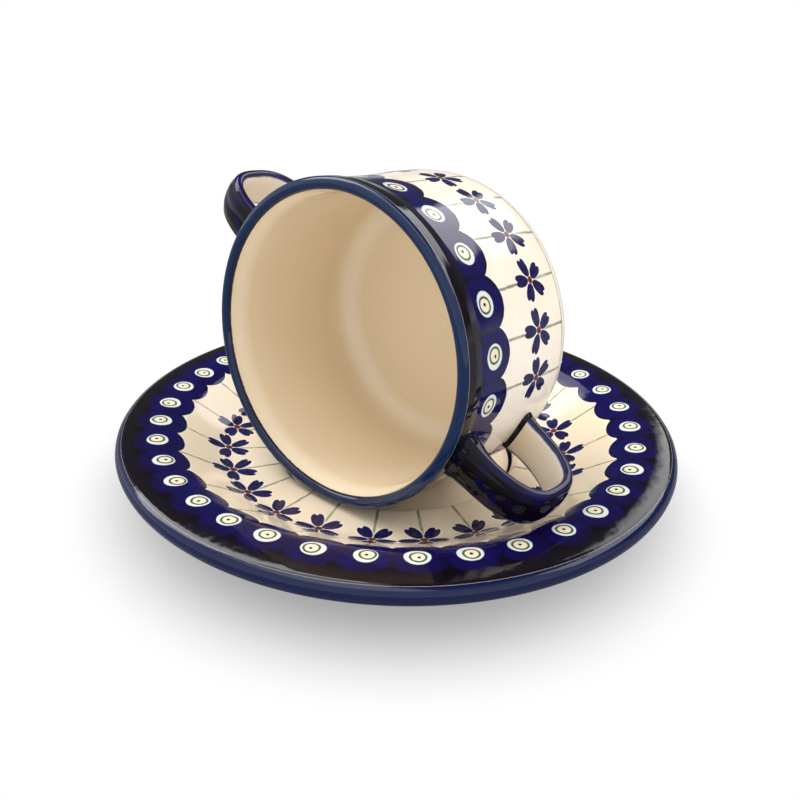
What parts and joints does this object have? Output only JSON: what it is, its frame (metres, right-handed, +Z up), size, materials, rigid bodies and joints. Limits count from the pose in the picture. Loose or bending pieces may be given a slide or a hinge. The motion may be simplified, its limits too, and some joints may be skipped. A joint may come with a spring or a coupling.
{
  "type": "soup cup and saucer",
  "caption": "Glazed stoneware soup cup with strap handles at either side, tipped on its side on its matching saucer, hand-stamped in cobalt.",
  "frame": {"origin": "centre of the saucer's foot ring, on the table", "axes": "+Z up out of the saucer; the cup lies with its mouth towards -Y and a little to -X"},
  "size_m": [0.175, 0.175, 0.1008],
  "materials": {
    "saucer_glaze": "gloss",
    "cup_glaze": "gloss",
    "handle_glaze": "gloss",
    "collar_glaze": "gloss"
  },
  "bodies": {
    "saucer": {"saucer": "saucer_glaze"},
    "cup": {"cup_body": "cup_glaze", "front_handle": "handle_glaze", "back_handle": "handle_glaze", "front_handle_upper_collar": "collar_glaze", "front_handle_lower_collar": "collar_glaze", "back_handle_upper_collar": "collar_glaze", "back_handle_lower_collar": "collar_glaze"}
  },
  "joints": [
    {"name": "lift_cup", "type": "slide", "parent": "saucer", "child": "cup", "axis": [0, 0, 1], "range_m": [0, 0.08]}
  ]
}
